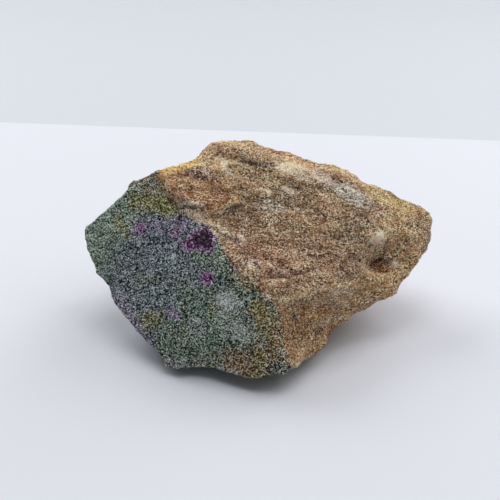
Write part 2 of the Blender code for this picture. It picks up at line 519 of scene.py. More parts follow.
@dataclass(frozen=True)
class GreenRock:
    """The freshly broken green rock: packed mica grains in green, slate and moss.

    Attributes:
        knobs: Swells and hollows of the broken face.
        grain_mm: Distance between its grains.
        grain_height_mm: Height of the grains.
        lump_mm: Distance between its small lumps.
        lump_height_mm: Height of the lumps.
        crumb_mm: Distance between its crumbs.
        crumb_height_mm: Height of the crumbs.
        patches: Its patches of colour, laid one over another in this order.
    """

    knobs: tuple[Knob, ...] = (
        Knob(((86, 228), (106, 208), (126, 191), (144, 180)), 7.0, -1.0),
        Knob(((102, 281),), 6.0, -1.6),
        Knob(((120, 308),), 6.0, 0.6),
        Knob(((142, 338),), 7.0, 0.7),
        Knob(((158, 366),), 5.0, -0.7),
    )

    grain_mm: float = 1.3
    grain_height_mm: float = 0.34
    lump_mm: float = 2.6
    lump_height_mm: float = 0.35
    crumb_mm: float = 0.75
    crumb_height_mm: float = 0.22
    patches: tuple[Patch, ...] = (
        Patch(((92, 228), (118, 210), (140, 188)), 7.0, Tint.MICA, 0.95),
        Patch(((96, 240), (104, 262)), 5.5, Tint.MICA, 0.8),
        Patch(((148, 178), (156, 190)), 3.4, Tint.SHADE_GREEN, 0.9),
        Patch(((136, 200), (160, 204), (176, 212)), 3.6, Tint.MOSS, 0.95),
        Patch(((118, 222), (126, 236)), 2.6, Tint.MOSS, 0.75),
        Patch(((118, 246), (104, 246)), 4.0, Tint.DEEP_GREEN, 0.7),
        Patch(((150, 228), (186, 226)), 3.6, Tint.DUSK, 0.8),
        Patch(((130, 258), (160, 262), (190, 262)), 7.0, Tint.SLATE, 0.9),
        Patch(((150, 242), (185, 252)), 3.6, Tint.SLATE, 0.8),
        Patch(((118, 276), (136, 298), (170, 300)), 5.0, Tint.SLATE, 0.75),
        Patch(((196, 254), (226, 258)), 3.0, Tint.DEEP_GREEN, 0.85),
        Patch(((116, 298), (132, 322), (146, 344)), 4.2, Tint.DUSK, 0.7),
        Patch(((158, 316), (148, 322)), 2.8, Tint.MOSS, 0.7),
        Patch(((166, 352), (196, 352), (214, 340)), 6.0, Tint.FUCHSITE, 0.8),
        Patch(((190, 300), (200, 322)), 5.0, Tint.FUCHSITE, 0.7),
        Patch(((225, 301), (228, 306)), 3.0, Tint.PALE_GREEN, 0.55, 0.9),
        Patch(((225, 302), (227, 305)), 1.7, Tint.PALE_GREEN, 0.85, 0.5),
        Patch(((222, 322), (236, 334)), 5.0, Tint.MICA, 0.6),
        Patch(((238, 276), (248, 284)), 2.4, Tint.SHADE_GREEN, 0.8),
        Patch(((196, 324), (200, 330)), 2.2, Tint.PALE_GREEN, 0.2, 0.8),
        Patch(((170, 368), (182, 364)), 2.0, Tint.PALE_GREEN, 0.22, 0.8),
        Patch(((232, 326), (244, 336)), 2.6, Tint.PALE_GREEN, 0.22, 0.8),
        Patch(((258, 310), (266, 320), (272, 332)), 3.4, Tint.OLIVE, 0.75),
        Patch(((232, 364), (256, 366), (276, 350)), 5.5, Tint.LICHEN, 0.9),
        Patch(((232, 356), (244, 364)), 2.6, Tint.RUST, 0.6),
        Patch(((272, 322), (278, 336)), 1.8, Tint.RUST, 0.6),
        Patch(((174, 257),), 1.2, Tint.FROST, 0.75),
        Patch(((158, 314),), 0.9, Tint.FROST, 0.6),
        Patch(((283, 352),), 0.7, Tint.FROST, 0.9),
        Patch(((210, 368), (236, 372), (280, 376)), 0.9, Tint.CREAM, 0.4),
    )

    def relief(self, skin: Skin) -> np.ndarray:
        """Works out the height of the green rock's grains and lumps.

        Args:
            skin: The skin of the lump.

        Returns:
            The height in millimetres at each point.
        """
        packed = grains(skin.points, self.grain_mm) - 0.5
        lumps = wander(skin.points, self.lump_mm, Offset.LUMPS)
        crumbs = wander(skin.points, self.crumb_mm, Offset.GREEN_CRUMBS)
        raised = (
            self.grain_height_mm * packed
            + self.lump_height_mm * lumps
            + self.crumb_height_mm * crumbs
        )
        for knob in self.knobs:
            raised = raised + knob.rise(skin)
        return raised


@dataclass(frozen=True)
class Crust:
    """The weathered brown crust: streaky sheets of schist, with broken edges, a pit and a knot.

    Attributes:
        crest: Where the sheets' streaks start.
        tip: Where the streaks point to.
        meeting: A third corner of the face that the sheets lie on.
        streak_mm: Distance between the streaks.
        stretch: How long a streak is for its width.
        streak_height_mm: Height of the streaks.
        swirl_mm: How far the streaks bend aside.
        swirl_spacing_mm: Distance between those bends.
        step_spacing_mm: Distance between the sheets' broken steps.
        step_height_mm: Height of one step.
        steps: How finely the rise of the sheets is cut into steps.
        crumb_mm: Distance between the crumbs.
        crumb_height_mm: Height of the crumbs.
        ledge_fray_mm: How far a ledge's edge wanders at random.
        patches: Its patches of colour, laid one over another in this order.
        seams: Its raised edges and cracks, which also carry painted shade and partly painted highlight.
        calm: Where its streaks are quieter.
        knobs: Its knot, its pit, and the swells and hollows of its faces.
        ledges: The broken edges of its sheets.
    """

    crest: Pixel = (158, 172)
    tip: Pixel = (428, 215)
    meeting: Pixel = (268, 296)
    streak_mm: float = 1.5
    stretch: float = 3.2
    streak_height_mm: float = 0.24
    swirl_mm: float = 1.6
    swirl_spacing_mm: float = 5.0
    step_spacing_mm: float = 5.0
    step_height_mm: float = 0.24
    steps: float = 5.0
    crumb_mm: float = 0.9
    crumb_height_mm: float = 0.34
    ledge_fray_mm: float = 2.2
    patches: tuple[Patch, ...] = (
        Patch(((160, 182), (190, 190), (226, 200)), 7.0, Tint.RUSSET, 0.95),
        Patch(((162, 176), (186, 182), (206, 190)), 2.6, Tint.HONEY, 0.5),
        Patch(((158, 172), (176, 168), (196, 163)), 2.0, Tint.OCHRE, 0.9),
        Patch(((204, 158), (216, 166), (240, 176)), 4.0, Tint.HONEY, 0.6),
        Patch(((214, 144), (244, 150), (290, 162)), 6.0, Tint.HONEY, 0.7),
        Patch(((216, 156), (236, 162)), 1.8, Tint.SIENNA, 0.7),
        Patch(((222, 162), (229, 172)), 1.7, Tint.CREAM, 0.85),
        Patch(((204, 172), (208, 174)), 1.1, Tint.CREAM, 0.7),
        Patch(((243, 152), (247, 156)), 1.2, Tint.CREAM, 0.6),
        # Painted shade on the steep end face of the ridge's block.
        Patch(((206, 151), (216, 149)), 2.4, Tint.EARTH_AND_SHADE, 0.7),
        Patch(((222, 150), (240, 154)), 2.6, Tint.SIENNA, 0.6),
        Patch(((252, 158), (280, 162)), 2.0, Tint.SIENNA, 0.6),
        Patch(((240, 171), (262, 175), (282, 175)), 4.0, Tint.SAND, 0.9),
        Patch(((212, 219), (230, 216), (246, 212)), 2.0, Tint.SAND, 0.6),
        Patch(((273, 150), (283, 154)), 1.2, Tint.BRICK, 0.8),
        Patch(((282, 154), (296, 158)), 1.4, Tint.UMBER, 0.7),
        Patch(((284, 167), (302, 173)), 3.0, Tint.CREAM, 0.8),
        Patch(((178, 207), (194, 217), (212, 228), (236, 240)), 1.8, Tint.CREAM, 0.55),
        Patch(((300, 163), (346, 174), (370, 188)), 4.0, Tint.HONEY, 0.9),
        Patch(((322, 172), (350, 182), (378, 198)), 1.8, Tint.SIENNA, 0.8),
        Patch(((378, 196), (404, 206)), 4.0, Tint.GOLD, 0.9),
        Patch(((250, 188), (276, 200), (300, 196)), 7.0, Tint.ASH, 0.85),
        Patch(((236, 216), (270, 214)), 5.0, Tint.ASH, 0.7),
        Patch(((262, 204), (280, 208)), 2.4, Tint.STEEL, 0.2),
        Patch(((286, 190), (292, 194)), 1.6, Tint.CREAM, 0.6),
        Patch(((262, 190), (268, 192)), 1.2, Tint.CREAM, 0.5),
        Patch(((320, 190), (352, 200), (362, 214)), 4.0, Tint.ASH, 0.8),
        Patch(((322, 178), (344, 188), (360, 200)), 3.2, Tint.STEEL, 0.65, 0.9),
        Patch(((312, 178), (318, 181)), 1.0, Tint.CREAM, 0.6),
        Patch(((340, 216), (376, 222)), 4.0, Tint.MAUVE, 0.85),
        Patch(((236, 246), (290, 262), (340, 272)), 8.0, Tint.SIENNA, 0.6),
        # Painted highlight along the rim of the crease, partly its own pale colour.
        Patch(((262, 286), (300, 293), (342, 286)), 1.6, Tint.SAND, 0.35),
        Patch(((214, 228), (232, 252), (248, 272)), 2.2, Tint.SAND, 0.6),
        Patch(((396, 226), (412, 236), (404, 262)), 7.0, Tint.OLIVE_TAN, 0.85),
        Patch(((352, 292), (388, 286), (398, 280)), 4.5, Tint.OLIVE_TAN, 0.7),
        Patch(((372, 250), (366, 268), (376, 276)), 3.0, Tint.OLIVE_TAN, 0.7),
        Patch(((370, 252), (372, 274), (394, 272)), 3.0, Tint.OLIVE_TAN, 0.7),
        Patch(((376, 267), (387, 266)), 2.4, Tint.AMBER, 0.9, 0.6),
        # Painted shade along the pit's upper rim.
        Patch(((373, 267), (375, 262), (382, 260), (391, 262)), 0.8, Tint.EARTH_AND_SHADE, 0.9, 0.5),
        Patch(((379, 270), (387, 271)), 0.5, Tint.EARTH_AND_SHADE, 0.8, 0.4),
        Patch(((378, 240),), 2.9, Tint.CREAM, 0.95, 0.5),
        Patch(((377, 242),), 1.6, Tint.BLUSH, 1.0, 0.5),
        Patch(((371, 249), (386, 250)), 1.4, Tint.OLIVE_TAN, 0.8, 0.5),
        Patch(((388, 232), (392, 244)), 1.2, Tint.SAND, 0.8, 0.5),
        Patch(((294, 330), (336, 322)), 8.0, Tint.UMBER, 0.85, 0.35),
        Patch(((264, 298), (270, 314)), 1.6, Tint.CREAM, 0.5),
        Patch(((300, 290), (344, 286), (352, 290)), 1.4, Tint.ASH, 0.6),
        Patch(((318, 336), (330, 322), (344, 310)), 3.0, Tint.SAND, 0.35),
        Patch(((306, 344), (300, 356), (294, 366)), 2.6, Tint.SAND, 0.5),
        Patch(((280, 304), (286, 308)), 1.6, Tint.SAND, 0.8),
        Patch(((240, 236), (243, 240)), 1.0, Tint.CREAM, 0.8),
        Patch(((249, 262), (251, 268)), 0.9, Tint.CREAM, 0.8),
        Patch(((394, 264),), 1.2, Tint.CREAM, 1.0),
        Patch(((270, 281), (274, 282)), 0.6, Tint.CREAM, 0.7),
        Patch(((422, 214), (424, 226)), 2.0, Tint.ASH, 0.5),
        Patch(((293, 314), (296, 319)), 0.8, Tint.EARTH_AND_SHADE, 0.8, 0.4),
        Patch(((306, 326),), 0.7, Tint.EARTH_AND_SHADE, 0.7, 0.4),
        Patch(((327, 322),), 0.7, Tint.CREAM, 0.9, 0.4),
        Patch(((340, 318),), 0.8, Tint.CREAM, 0.9, 0.4),
        Patch(((313, 338),), 0.7, Tint.CREAM, 0.9, 0.4),
        Patch(((325, 331), (332, 332)), 0.9, Tint.BRICK, 0.8, 0.5),
        Patch(((355, 312),), 0.9, Tint.BRICK, 0.8, 0.5),
        Patch(((371, 303),), 0.9, Tint.BRICK, 0.8, 0.5),
        Patch(((335, 291), (345, 291)), 0.7, Tint.CREAM, 0.7, 0.6),
        Patch(((338, 284), (345, 286)), 1.1, Tint.EARTH_AND_SHADE, 0.5, 0.6),
        Patch(((278, 271), (282, 275)), 0.9, Tint.EARTH_AND_SHADE, 0.6, 0.6),
        Patch(((283, 280),), 0.9, Tint.CREAM, 0.9, 0.5),
        Patch(((314, 175), (332, 180)), 1.6, Tint.BLUSH, 0.5),
        Patch(((350, 202), (358, 212)), 2.2, Tint.EARTH_AND_SHADE, 0.3, 0.9),
        Patch(((426, 215), (430, 219)), 1.6, Tint.GOLD, 0.7),
        Patch(((298, 298), (344, 296)), 3.0, Tint.SAND, 0.35),
    )
    # Dark seams are painted shade in cracks and painted shadow under the sheets' broken edges; pale
    # seams are lips and rims, partly painted highlight.
    seams: tuple[Seam, ...] = (
        Seam(((184, 206), (192, 208), (200, 209)), 0.7, -0.5, Tint.EARTH_AND_SHADE),
        Seam(((226, 209), (236, 207)), 0.7, -0.5, Tint.EARTH_AND_SHADE),
        Seam(((183, 203), (192, 204), (202, 206)), 0.5, 0.2, Tint.CREAM),
        Seam(((208, 215), (220, 213), (226, 206), (238, 202)), 0.5, 0.2, Tint.SAND),
        Seam(((243, 161), (250, 163), (256, 165), (262, 163)), 0.7, -0.8, Tint.EARTH_AND_SHADE),
        Seam(((266, 164), (270, 162), (274, 164)), 0.8, -0.8, Tint.EARTH_AND_SHADE),
        # The crease's pale rim, partly painted highlight.
        Seam(((276, 300), (292, 300), (312, 292), (344, 286)), 0.9, 0.5, Tint.SAND),
        Seam(((326, 234), (340, 239)), 0.5, -0.5, Tint.EARTH_AND_SHADE),
        Seam(((262, 282), (300, 277), (330, 275)), 0.5, 0.3, Tint.SAND),
        Seam(((180, 174), (192, 176), (205, 178)), 0.6, -0.5, Tint.EARTH_AND_SHADE),
        Seam(((280, 262), (284, 266)), 0.6, -0.5, Tint.EARTH_AND_SHADE),
    )
    calm: tuple[Calm, ...] = (
        Calm(((378, 241),), 2.4, 0.45),
        Calm(((395, 263),), 1.0, 0.6),
        Calm(((376, 265), (388, 266)), 2.6, 0.2),
        Calm(((300, 163), (346, 174), (404, 208)), 4.0, 0.25),
        Calm(((168, 184), (200, 194), (240, 194)), 7.0, 0.2),
        Calm(((404, 232), (408, 262), (370, 290)), 6.0, 0.15),
    )
    knobs: tuple[Knob, ...] = (
        Knob(((376, 262),), 2.8, -0.45),
        Knob(((385, 265),), 2.8, -0.5),
        Knob(((380, 270),), 1.8, -0.4),
        Knob(((378, 240),), 2.8, 0.3),
        Knob(((395, 263),), 1.0, 0.4),
        Knob(((241, 238),), 1.2, 0.5),
        Knob(((228, 168),), 2.0, 0.4),
        Knob(((352, 316),), 4.0, 0.7),
        Knob(((338, 338),), 4.0, -0.9),
        Knob(((300, 155),), 6.0, 0.7),
        Knob(((208, 142), (228, 138)), 6.0, 0.5),
        Knob(((352, 172), (372, 184)), 5.0, 0.6),
        Knob(((394, 195), (402, 199)), 4.0, 0.5),
        Knob(((418, 205), (426, 209)), 6.0, -0.6),
        Knob(((430, 218),), 5.0, 0.5),
        Knob(((431, 229),), 4.0, 0.5),
        Knob(((431, 238),), 3.0, -0.7),
        Knob(((412, 270), (400, 286)), 7.0, 0.8),
    )
    ledges: tuple[Ledge, ...] = (
        Ledge(((160, 188), (168, 196), (180, 201), (192, 206), (205, 214), (217, 217), (228, 212),
               (238, 206), (245, 199), (246, 190)), 0.5, 14.0, 0.15),
        Ledge(((298, 176), (308, 177), (322, 184), (340, 188), (358, 198)), 0.5, 5.0, 0.15),
        Ledge(((202, 226), (214, 228), (226, 236), (240, 240)), 0.5, 4.0),
        Ledge(((214, 172), (224, 172), (232, 168), (244, 166)), 0.6, 4.0),
        Ledge(((248, 262), (262, 270), (284, 274), (306, 270)), 0.4, 5.0),
        Ledge(((262, 186), (276, 188), (290, 196), (300, 194)), 0.4, 4.0),
    )

    def frame(self, skin: Skin) -> np.ndarray:
        """Works out the sheets' own axes.

        Args:
            skin: The skin of the lump.

        Returns:
            Three rows: along the streaks, across them, and out of the sheets.
        """
        crest, tip, meeting = (skin.touch(pixel) for pixel in (self.crest, self.tip, self.meeting))
        along = (tip - crest) / np.linalg.norm(tip - crest)
        out = np.cross(meeting - crest, along)
        out = out / np.linalg.norm(out)
        out = out if out[2] > 0.0 else -out
        return np.array((along, np.cross(out, along), out))

    def relief(self, skin: Skin) -> np.ndarray:
        """Works out the height of the crust's streaks and broken sheets.

        Args:
            skin: The skin of the lump.

        Returns:
            Heights in millimetres.
        """
        lie = skin.points @ self.frame(skin).T
        swirl = self.swirl_mm * wander(skin.points, self.swirl_spacing_mm, Offset.SWIRL)
        drawn = (lie + swirl[:, None]) / np.array((self.stretch, 1.0, 1.0))
        streaks = 0.5 - 2.0 * np.abs(wander(drawn, self.streak_mm, Offset.STREAKS))
        field_height = wander(drawn, self.step_spacing_mm, Offset.STEPS) * self.steps
        level = np.floor(field_height)
        broken = level + smooth_step(field_height - level - 0.5, 0.3)
        crumbs = wander(skin.points, self.crumb_mm, Offset.CRUST_CRUMBS)
        raised = (
            self.streak_height_mm * streaks
            + self.step_height_mm * broken
            + self.crumb_height_mm * crumbs
        )
        for seam in self.seams:
            near = skin.around(seam.pixels) + 0.5 * skin.ragged
            raised = raised + seam.rise_mm * smooth_step(seam.width_mm - near, seam.width_mm)
        for knob in self.knobs:
            raised = raised + knob.rise(skin)
        for ledge in self.ledges:
            side, near, taper = self.beside(skin, lie, ledge)
            stands = smooth_step(side, 0.5) * smooth_step(ledge.run_mm / 2.0 - near, ledge.run_mm)
            raised = raised + 2.0 * ledge.rise_mm * taper * stands
        return raised

    def calmness(self, skin: Skin) -> np.ndarray:
        """Works out where the streaks are quieter.

        Args:
            skin: The skin of the lump.

        Returns:
            The share at each point by which they are quieter.
        """
        found = np.zeros(len(skin.points))
        for calm in self.calm:
            found = np.maximum(found, calm.share * skin.cover(calm.pixels, calm.reach_mm, 0.4))
        return found

    def beside(
        self, skin: Skin, lie: np.ndarray, ledge: Ledge
    ) -> tuple[np.ndarray, np.ndarray, np.ndarray]:
        """Works out where each point lies beside a ledge.

        Args:
            skin: The skin of the lump.
            lie: The skin's points along the sheets' own axes.
            ledge: The ledge.

        Returns:
            For each point the distance on the ledge's high side, negative on its low side, the
            distance from its line, and a share that falls to nothing at its ends.
        """
        turned = self.frame(skin)
        corners = [turned @ skin.touch(pixel) for pixel in ledge.pixels]
        lengths = [float(np.linalg.norm(end - start)) for start, end in zip(corners, corners[1:])]
        near = np.full(len(lie), np.inf)
        side, walked = np.zeros(len(lie)), np.zeros(len(lie))
        passed = 0.0
        for start, end, length in zip(corners, corners[1:], lengths):
            line = (end - start) / length
            along = np.clip((lie - start) @ line, 0.0, length)
            gap = lie - start - along[:, None] * line
            far = np.linalg.norm(gap, axis=1)
            closer = far < near
            near = np.where(closer, far, near)
            left = line[0] * gap[:, 1] - line[1] * gap[:, 0]
            side = np.where(closer, np.copysign(far, left), side)
            walked = np.where(closer, passed + along, walked)
            passed += length
        taper = smooth_step(np.minimum(walked, passed - walked) - 1.5, 3.0)
        return side + self.ledge_fray_mm * skin.ragged, near, taper


@dataclass(frozen=True)
class Rubies:
    """Ruby spots in the green rock.

    Attributes:
        spots: The spots that the camera sees.
        hidden: Places of the spots on the far sides, in millimetres, and their radii.
    """

    spots: tuple[Spot, ...] = (
        Spot((139, 229), 3.2, 0.55),
        Spot((176, 236), 3.8, 0.3),
        Spot((190, 244), 2.8, 0.8),
        Spot((198, 241), 3.3, 1.25),
        Spot((205, 236), 3.2, 1.45),
        Spot((207, 244), 2.8, 1.3),
        Spot((207, 279), 3.0, 0.65),
        Spot((212, 277), 1.6, 0.9),
        Spot((172, 313), 3.2, 0.28),
    )
    hidden: tuple[tuple[Place, float], ...] = (
        ((-52.0, 14.0, 28.0), 3.2),
        ((-40.0, 22.0, 18.0), 2.4),
        ((-30.0, 0.0, 0.0), 3.5),
        ((-44.0, -6.0, 10.0), 2.6),
    )

    def strength(self, skin: Skin) -> np.ndarray:
        """Works out how deep the ruby colour is.

        Args:
            skin: The skin of the lump.

        Returns:
            The strength at each point: 0 for none, 1 for full magenta, and more where it is dark.
        """
        found = np.zeros(len(skin.points))
        for spot in self.spots:
            near = skin.around((spot.pixel,)) / spot.radius_mm + 0.35 * skin.ragged
            found = np.maximum(found, spot.strength * smooth_step(0.8 - near, 1.2))
        for place, radius in self.hidden:
            near = skin.distance([np.array(place)]) / radius + 0.35 * skin.ragged
            found = np.maximum(found, smooth_step(1.0 - near, 1.2))
        return found


@dataclass(frozen=True)
class Grain:
    """One size of grain in the finish: its size, and how far it lightens and darkens the rock."""

    size_mm: float
    depth: float


@dataclass(frozen=True)
class StoneFinish:
    """The rock's finish: grain, flakes, streaks and ruby over the painted colours.

    Attributes:
        flake: The mica flakes of the green rock.
        dust: The green rock's finest grains.
        streak: The crust's fine streaks.
        crumb: The crust's crumbs.
        powder: The crust's finest grains.
        thread: The pale threads that cross the crust.
        blotch: The blotches in a ruby spot.
        patchy_mm: Distance between the crust's busy places.
        ruby_deepest: The strength at which ruby is at its darkest.
        ruby_shade: How much ruby darkens the grains in it.
        ruby_calm: How much ruby evens out the grains in it.
        stretch: How long a streak is for its width.
        crumb_stretch: How long a crumb is for its width.
        thread_stretch: How long a thread is for its width.
        fray: How far the finest grains fray the edge between the crust and the green rock.
        roughness: Roughness of the crust.
        flake_roughness: Roughness of the mica flakes.
        shine: How strongly the rock mirrors the lamps.
        bump: How strongly the grain stands out in the light.
        bump_mm: How deep the grain looks.
    """

    flake: Grain = Grain(0.55, 0.25)
    dust: Grain = Grain(0.3, 1.6)
    streak: Grain = Grain(0.5, 1.35)
    crumb: Grain = Grain(0.42, 0.12)
    powder: Grain = Grain(0.3, 0.95)
    thread: Grain = Grain(1.1, 0.22)
    blotch: Grain = Grain(0.7, 0.45)
    patchy_mm: float = 4.0
    ruby_deepest: float = 1.5
    ruby_shade: float = 0.08
    ruby_calm: float = 0.22
    stretch: float = 4.5
    crumb_stretch: float = 1.6
    thread_stretch: float = 2.2
    fray: float = 0.6
    roughness: float = 0.85
    flake_roughness: float = 0.5
    shine: float = 0.3
    bump: float = 0.7
    bump_mm: float = 0.3

    def build(self, turn: Matrix) -> bpy.types.Material:
        """Makes the material.

        Args:
            turn: Rotation from the world's axes to the crust's sheets.

        Returns:
            The material.
        """
        graph = Graph("ruby_in_fuchsite_rock")
        place = graph.add("ShaderNodeTexCoord").outputs["Object"]
        tint = graph.attribute("tint").outputs["Color"]
        kinds = graph.add("ShaderNodeSeparateColor", Color=graph.attribute("kinds").outputs["Color"])
        crust_share, ruby_share, calm = (kinds.outputs[name] for name in ("Red", "Green", "Blue"))

        flake = graph.pick(place, self.flake)
        dust = graph.pick(place, self.dust)
        sheets = graph.stretched(place, turn, self.stretch)
        streak = graph.noise(sheets, self.streak.size_mm, 4.0, 0.75)
        crumb = graph.pick(graph.stretched(place, turn, self.crumb_stretch), self.crumb)
        powder = graph.pick(place, self.powder)

        frayed = graph.math("MULTIPLY_ADD", dust, self.fray, crust_share)
        is_crust = graph.ramp(
            graph.math("SUBTRACT", frayed, self.fray / 2.0),
            ((0.0, 0.0), (0.3, 0.0), (0.7, 1.0), (1.0, 1.0)),
        )
        green_lift = graph.lift(((flake, self.flake), (dust, self.dust)))
        evened = graph.math("MULTIPLY_ADD", ruby_share, -self.ruby_calm, 1.0)
        green_lift = graph.math("MULTIPLY", green_lift, evened)
        green_lift = graph.math("MULTIPLY_ADD", ruby_share, -self.ruby_shade, green_lift)
        brown_lift = graph.lift(((streak, self.streak), (crumb, self.crumb), (powder, self.powder)))
        threads = graph.stretched(place, turn, self.thread_stretch)
        thread = graph.noise(threads, self.thread.size_mm, 2.0, 0.6)
        pale = graph.ramp(thread, ((0.0, 0.0), (0.46, 0.0), (0.5, 1.0), (0.54, 0.0), (1.0, 0.0)))
        brown_lift = graph.math("MULTIPLY_ADD", pale, self.thread.depth, brown_lift)
        busy = graph.noise(place, self.patchy_mm, 1.0, 0.5)
        patchy = graph.ramp(busy, ((0.0, 0.7), (0.4, 0.7), (0.6, 1.3), (1.0, 1.3)))
        brown_lift = graph.math("MULTIPLY", brown_lift, graph.math("SUBTRACT", patchy, calm))
        lift = graph.blend(is_crust, green_lift, brown_lift)
        ground = self.ruby(graph, tint, graph.pick(place, self.blotch), ruby_share)
        colour = graph.lifted(ground, lift)

        rough = graph.ramp(flake, ((0.0, self.roughness), (0.7, 0.7), (1.0, self.flake_roughness)))
        rough = graph.blend(is_crust, rough, self.roughness)
        height = graph.blend(
            is_crust,
            graph.math("MULTIPLY_ADD", flake, 0.6, graph.math("MULTIPLY", dust, 0.6)),
            graph.math("MULTIPLY_ADD", streak, 1.4, graph.math("MULTIPLY", crumb, 0.8)),
        )
        bump = graph.add("ShaderNodeBump", Height=height)
        bump.inputs["Strength"].default_value = self.bump
        bump.inputs["Distance"].default_value = self.bump_mm * MM
        shader = graph.shader
        graph.link(colour, shader.inputs["Base Color"])
        graph.link(rough, shader.inputs["Roughness"])
        graph.link(bump.outputs["Normal"], shader.inputs["Normal"])
        shader.inputs["Specular IOR Level"].default_value = self.shine
        return graph.material

    def ruby(self, graph: Graph, under: Socket, blotch: Socket, share: Socket) -> Socket:
        """Lays ruby over the green rock: lilac at its edge, magenta inside and black cherry deepest.

        Args:
            graph: The material's nodes.
            under: The painted colour.
            blotch: A number picked for each blotch.
            share: How deep the ruby is.

        Returns:
            The colour with ruby in it.
        """
        wobble = graph.math("MULTIPLY", graph.math("SUBTRACT", blotch, 0.5), self.blotch.depth)
        level = graph.math("ADD", graph.math("MULTIPLY", share, 1.0 / self.ruby_deepest), wobble)
        shown = graph.colours(level, (
            (0.1, Tint.LILAC.value), (0.26, Tint.MAGENTA.value), (0.42, Tint.CLARET.value),
            (0.66, Tint.CHERRY.value),
        ))
        cover = graph.ramp(
            graph.math(
                "ADD",
                graph.math("MULTIPLY", share, 1.0 / self.ruby_deepest),
                graph.math("MULTIPLY", wobble, 0.4),
            ),
            ((0.0, 0.0), (0.06, 0.0), (0.34, 1.0), (1.0, 1.0)),
        )
        return graph.mix(cover, under, shown)


Socket = bpy.types.NodeSocket | float


